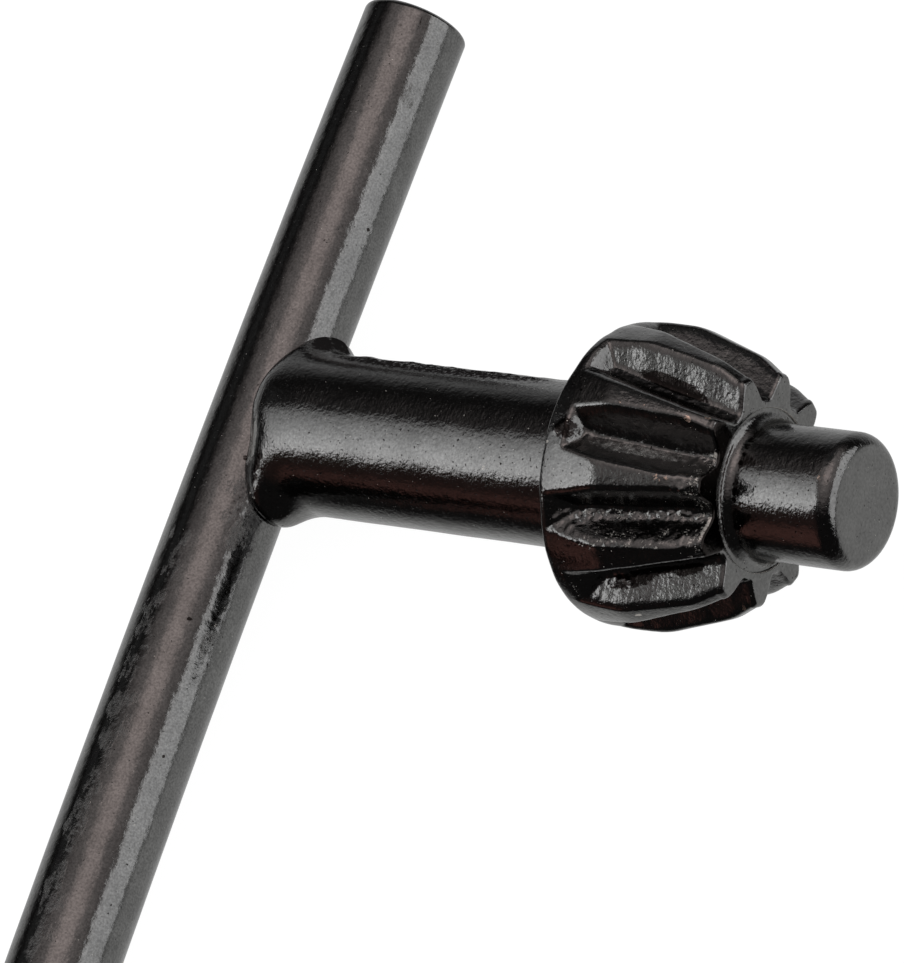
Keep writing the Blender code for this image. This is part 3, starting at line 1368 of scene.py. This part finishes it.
@dataclass(frozen=True)
class Softbox:
    """A lit panel that the steel mirrors, with a brightness that may run across it."""

    name: str
    azimuth_deg: float
    elevation_deg: float
    width_deg: float
    height_deg: float
    radiance: tuple[float, ...]
    distance: float = 1.6

    def build(self) -> None:
        """Hang the panel."""
        lamp = bpy.data.lights.new(self.name, "AREA")
        lamp.shape = "RECTANGLE"
        lamp.size = 2 * self.distance * math.tan(math.radians(self.width_deg / 2))
        lamp.size_y = 2 * self.distance * math.tan(math.radians(self.height_deg / 2))
        lamp.energy = math.pi * lamp.size * lamp.size_y
        lamp.use_nodes = True
        draw = Sketch(lamp.node_tree)
        spot = draw.node("ShaderNodeNewGeometry").outputs["Parametric"]
        across = draw.node("ShaderNodeSeparateXYZ", {0: spot})
        ramp = draw.node("ShaderNodeValToRGB", {"Fac": across.outputs["X"]})
        stops = ramp.color_ramp.elements
        for i, level in enumerate(self.radiance):
            at = i / max(1, len(self.radiance) - 1)
            stop = stops[i] if i < 2 and i < len(stops) else stops.new(at)
            stop.position = at
            stop.color = (level, level, level, 1.0)
        draw.feed(lamp.node_tree.nodes["Emission"], {"Color": ramp.outputs["Color"]})

        towards = direction(self.azimuth_deg, self.elevation_deg)
        hung = add_object(self.name, lamp)
        hung.rotation_euler = towards.to_track_quat("Z", "Y").to_euler()
        hung.location = towards * self.distance
        hung.visible_camera = False


@dataclass(frozen=True)
class Glow:
    """A soft-edged part of the studio's surroundings, round a direction."""

    azimuth_deg: float
    elevation_deg: float
    full_deg: float
    none_deg: float
    colour: Colour


@dataclass(frozen=True)
class Studio:
    """Floor, surroundings, panels and camera."""

    panels: tuple[Softbox, ...]
    glows: tuple[Glow, ...]
    dark: Colour = (0.018, 0.017, 0.017)
    plain_light: float = 0.75
    floor_size: float = 3.0
    floor_colour: Colour = (0.8, 0.8, 0.8)
    floor_glow: float = 0.97
    floor_share: float = 0.12
    camera_place: tuple[float, float, float] = (0.133269, -0.0855466, 0.2614889)
    camera_right: tuple[float, float, float] = (0.87537176, 0.33628232, -0.34733051)
    camera_up: tuple[float, float, float] = (-0.17787835, 0.89207828, 0.41539821)
    focal_pixels: float = 6880.0
    image_height: float = 963.0
    sensor: float = 36.0

    def build_floor(self) -> None:
        """Lay the white floor, which keeps a faint shadow of the key."""
        bm = bmesh.new()
        bmesh.ops.create_grid(bm, x_segments=1, y_segments=1, size=self.floor_size / 2)
        floor = add_mesh("studio_floor", bm)
        floor.visible_glossy = False
        floor.data.materials.append(self.floor_material())

    def floor_material(self) -> bpy.types.Material:
        """White floor: pure white to the camera, with the key's shadow in it.

        Returns:
            The material.
        """
        material = bpy.data.materials.new("studio_white")
        material.use_nodes = True
        tree = material.node_tree
        tree.nodes.clear()
        draw = Sketch(tree)
        lit = draw.node("ShaderNodeBsdfDiffuse", {"Color": (*self.floor_colour, 1.0)})
        glow = draw.node("ShaderNodeEmission", {
            "Color": (*WHITE, 1.0), "Strength": self.floor_glow / (1.0 - self.floor_share)})
        seen = draw.node("ShaderNodeMixShader", {
            0: self.floor_share, 1: glow.outputs[0], 2: lit.outputs[0]})
        rays = draw.node("ShaderNodeLightPath")
        chosen = draw.node("ShaderNodeMixShader", {
            0: rays.outputs["Is Camera Ray"], 1: lit.outputs[0], 2: seen.outputs[0]})
        draw.node("ShaderNodeOutputMaterial", {"Surface": chosen.outputs[0]})
        return material

    def build_world(self) -> None:
        """White for the camera, plain light for matt surfaces, the studio for gloss."""
        world = bpy.data.worlds.new("studio")
        bpy.context.scene.world = world
        world.use_nodes = True
        world.cycles.sampling_method = "NONE"
        draw = Sketch(world.node_tree)
        towards = draw.node("ShaderNodeTexCoord").outputs["Generated"]
        mirrored: object = self.dark
        for glow in self.glows:
            middle = direction(glow.azimuth_deg, glow.elevation_deg)
            along = draw.node(
                "ShaderNodeVectorMath", {0: towards, 1: middle}, operation="DOT_PRODUCT")
            share = draw.remap(
                along.outputs["Value"], math.cos(math.radians(glow.none_deg)),
                math.cos(math.radians(glow.full_deg)), eased=True)
            mirrored = draw.tint(share, mirrored, glow.colour)
        rays = draw.node("ShaderNodeLightPath")
        plain = (self.plain_light,) * 3
        colour = draw.tint(rays.outputs["Is Diffuse Ray"], mirrored, plain)
        colour = draw.tint(rays.outputs["Is Camera Ray"], colour, WHITE)
        draw.feed(world.node_tree.nodes["Background"], {"Color": colour})

    def build_camera(self) -> None:
        """Set up the camera as it was fitted to the photograph."""
        lens = bpy.data.cameras.new("camera")
        lens.sensor_width = self.sensor
        lens.lens = self.focal_pixels / self.image_height * self.sensor
        lens.clip_start = 0.01
        right, up = Vector(self.camera_right), Vector(self.camera_up)
        turn = Matrix((right, up, right.cross(up))).transposed()
        camera = add_object("camera", lens)
        camera.rotation_euler = turn.to_euler()
        camera.location = self.camera_place
        bpy.context.scene.camera = camera

    def build(self) -> None:
        """Set up the whole studio."""
        bpy.context.scene.view_settings.view_transform = "Standard"
        self.build_floor()
        self.build_world()
        for panel in self.panels:
            panel.build()
        self.build_camera()


BODY_COAT = CoatFinish("black_coat_on_body", "body_coat")
BAR_COAT = CoatFinish(
    "black_coat_on_bar", "bar_coat", peel_depth=0.003, turning_depth=0.002, grain_depth=0.004,
    wave_size=0.7, wave_depth=0.03, speck_share=0.785, pit_share=0.74, mottle=0.24,
    mottle_size=0.1, scuff_colour=(0.1, 0.098, 0.095), scuff_roughness=0.26,
    scuff_stretch=2.6)
BODY_MARKS: tuple[Mark, ...] = (
    *marks_of(
        WearAndPaintedLight.CHIP,
        (2.12, 147.6, 0.16, 1.0, 0.5), (2.31, 152.8, 0.22, 1.0, 0.5),
        (20.47, 103.5, 0.16, 1.0, 0.6), (20.6, 96.8, 0.12, 1.0, 0.6), (13.47, 84.5, 0.2, 1.0, 0.55),
        (12.17, 88.4, 0.08, 5.0, 0.6), (15.16, 120.3, 0.22, 1.6, 0.55),
        (23.55, 178.1, 0.17, 1.6, 0.8)),
    *scatter(WearAndPaintedLight.CHIP, 10, (1.9, 2.7), (143.0, 162.0), (0.12, 0.2), 1.0, 0.42),
    *scatter(WearAndPaintedLight.CHIP, 44, (21.4, 27.2), (137.0, 142.0), (0.14, 0.26), 1.5, 0.44),
    *scatter(WearAndPaintedLight.CHIP, 30, (21.6, 27.2), (129.5, 133.0), (0.14, 0.26), 1.6, 0.44),
    *scatter(WearAndPaintedLight.CHIP, 46, (26.9, 27.35), (92.0, 158.0), (0.14, 0.3), 1.0, 0.45),
    # black marks: smudges on the saddle and back rim, and painted shade along two tooth-gap roots
    # and round the pilot's root
    *marks_of(
        WearAndPaintedLight.GRIME,
        (1.5, 121.5, 0.3), (2.3, 108.0, 0.28, 0.3, 0.5), (20.84, 80.0, 0.14, 1.0, 0.7),
        (21.38, 81.9, 0.16, 1.0, 0.7), (24.3, 60.2, 0.42, 6.5, 0.75), (24.0, 165.2, 0.3, 9.0, 0.7),
        (25.9, 166.4, 0.34, 3.4, 0.72), (23.5, 167.0, 0.34, 6.0, 0.6),
        (21.15, 97.5, 0.85, 1.0, 0.64), (2.45, 140.0, 0.5, 0.7, 0.5),
        (2.72, 128.5, 0.34, 1.0, 0.66), (2.56, 133.5, 0.36, 1.0, 0.7),
        (2.42, 139.5, 0.34, 1.0, 0.62), (28.1, 58.0, 0.75, 0.6, 0.8)),
    *scatter(WearAndPaintedLight.GRIME, 26, (27.85, 28.25), (60.0, 165.0), (0.1, 0.3), 1.0, 0.7),
    # dull black: painted dark reflection on the saddle's flare, and a strip along the shank's far
    # side that is partly a rough coat and partly a painted dark reflection
    *marks_of(
        WearAndPaintedLight.SOOT,
        (10.2, 36.5, 1.3, 9.0, 0.77), (2.9, 26.0, 1.15, 1.0, 0.85), (3.1, 10.0, 1.2, 1.1, 0.85)),
    *scatter(WearAndPaintedLight.SOOT, 40, (5.0, 17.0), (24.0, 46.0), (0.25, 0.5), 2.2, 0.5),
    *marks_of(
        WearAndPaintedLight.RUST,
        (11.69, 142.0, 0.5, 1.0, 0.36), (26.38, 83.3, 0.26, 1.0, 0.6),
        (27.04, 79.1, 0.22, 1.0, 0.56), (26.0, 111.5, 0.34, 2.2, 0.44),
        (26.89, -153.3, 0.18, 1.0, 0.7), (32.1, 93.0, 0.5, 0.8, 0.45)),
    *scatter(WearAndPaintedLight.RUST, 22, (22.5, 27.0), (81.5, 87.0), (0.12, 0.2), 1.4, 0.4),
    *marks_of(
        WearAndPaintedLight.SCUFF,
        (24.2, 100.4, 0.46, 8.0, 0.5), (2.14, 114.0, 1.3, 0.26, 0.74)),
)
BURRS = (
    Burr((5.2, 18.4), 27.0, 9.0, 0.085, 0.8),
    Burr((21.1, 27.3), 131.2, 2.4, 0.11, 0.2),
    Burr((21.0, 22.6), 134.0, 3.2, 0.16),
    Burr((21.4, 27.2), 139.6, 1.6, 0.12),
    Burr((26.3, 27.4), 100.0, 6.0, 0.1),
    Burr((26.3, 27.4), 118.0, 8.0, 0.12),
    Burr((26.3, 27.4), 144.0, 5.0, 0.1),
    Burr((20.8, 22.3), 98.5, 4.5, 0.1),
    Burr((21.6, 23.6), 165.5, 3.6, 0.13, 0.24),
    Burr((24.0, 27.0), 159.5, 1.6, 0.1),
    Burr((21.4, 27.0), 64.5, 1.4, 0.07),
)
BAR_MARKS: tuple[Mark, ...] = (
    *marks_of(
        WearAndPaintedLight.SCUFF,
        (-11.0, 20.7, 0.7, 2.0, 0.46), (4.01, 78.7, 0.6, 1.0, 0.42), (16.5, 29.0, 0.7, 1.6, 0.42)),
    *scatter(WearAndPaintedLight.SCUFF, 30, (-14.0, -6.5), (82.0, 108.0), (0.3, 0.6), 1.7, 0.4),
    *scatter(WearAndPaintedLight.SCUFF, 50, (-27.0, -14.0), (74.0, 100.0), (0.3, 0.7), 1.9, 0.42),
    *scatter(WearAndPaintedLight.SCUFF, 18, (-6.4, -3.0), (16.0, 56.0), (0.35, 0.7), 1.4, 0.44),
    *marks_of(
        WearAndPaintedLight.CHIP,
        (-14.88, 19.5, 0.1, 1.0, 0.6), (-20.02, 30.8, 0.1, 1.0, 0.6), (15.31, 92.9, 0.3, 1.0, 0.43),
        (16.17, 82.6, 0.24, 2.0, 0.43)),
    *scatter(WearAndPaintedLight.CHIP, 14, (-14.0, -6.5), (80.0, 108.0), (0.12, 0.2), 1.0, 0.4),
    *scatter(WearAndPaintedLight.CHIP, 16, (-12.4, -9.8), (12.0, 28.0), (0.14, 0.26), 1.0, 0.43),
    *scatter(WearAndPaintedLight.CHIP, 8, (9.0, 14.5), (84.0, 92.0), (0.12, 0.18), 1.0, 0.42),
    *marks_of(
        WearAndPaintedLight.GRIME,
        (-8.5, 22.0, 0.26, 4.5, 0.52), (-9.4, 22.0, 0.22, 2.0, 0.5), (-2.39, 54.5, 0.26, 1.0, 0.6),
        (-10.3, 49.9, 0.2, 0.35), (-16.62, 25.8, 0.2, 0.35), (20.0, 47.0, 0.14, 7.0, 0.5),
        (9.89, 17.0, 0.16), (8.64, 57.4, 0.12)),
    *scatter(WearAndPaintedLight.GRIME, 16, (-12.4, -9.4), (12.0, 27.0), (0.16, 0.34), 1.4, 0.48),
    *scatter(WearAndPaintedLight.GRIME, 12, (-6.4, -3.4), (10.0, 50.0), (0.25, 0.45), 1.4, 0.46),
)

PANELS = (
    Softbox("key_panel", -162.0, 38.0, 45.0, 38.0, (0.3, 0.74, 1.16, 1.6, 1.9)),
    Softbox("side_panel", 17.0, 9.5, 70.0, 44.0, (1.15, 1.15)),
)
GLOWS = (
    Glow(60.0, -84.0, 28.0, 61.0, (0.58, 0.58, 0.57)),
    Glow(110.0, -70.0, 3.0, 26.0, (0.8, 0.8, 0.79)),
    Glow(20.0, -44.0, 22.0, 35.0, (0.58, 0.58, 0.57)),
    Glow(172.0, -34.0, 4.0, 42.0, (0.58, 0.58, 0.57)),
    Glow(124.0, -45.0, 5.0, 62.0, (0.52, 0.52, 0.52)),
    Glow(163.0, 24.0, 3.0, 12.0, (0.05, 0.05, 0.05)),
    Glow(60.0, 70.0, 20.0, 61.0, (0.41, 0.37, 0.36)),
    Glow(58.0, 70.0, 2.0, 25.0, (0.94, 0.8, 0.765)),
    Glow(110.0, 41.0, 8.0, 20.0, (0.05, 0.05, 0.05)),
    Glow(-130.0, 55.0, 5.0, 14.0, (0.44, 0.44, 0.43)),
    Glow(-130.0, 8.0, 5.0, 35.0, (0.05, 0.03, 0.027)),
    Glow(-122.0, -8.0, 4.0, 18.0, (0.17, 0.08, 0.068)),
)


def main() -> None:
    """Build the key and its studio."""
    logging.basicConfig(level=logging.INFO, format="%(message)s")
    pilot_end = KeyBody.shank_length + TeethForm.length + KeyBody.pilot_length
    key = KeyFrame.from_record(frame["record"], pilot_end)
    pieces: tuple[KeyBody | TeeBar, ...] = (
        KeyBody(key, BODY_COAT, marks=BODY_MARKS, burrs=BURRS),
        TeeBar(key, BAR_COAT, marks=BAR_MARKS),
    )
    for piece in pieces:
        made = piece.build()
        log.info("%s: %d faces", made.name, len(made.data.polygons))
    Studio(PANELS, GLOWS).build()


if __name__ == "__main__":
    main()
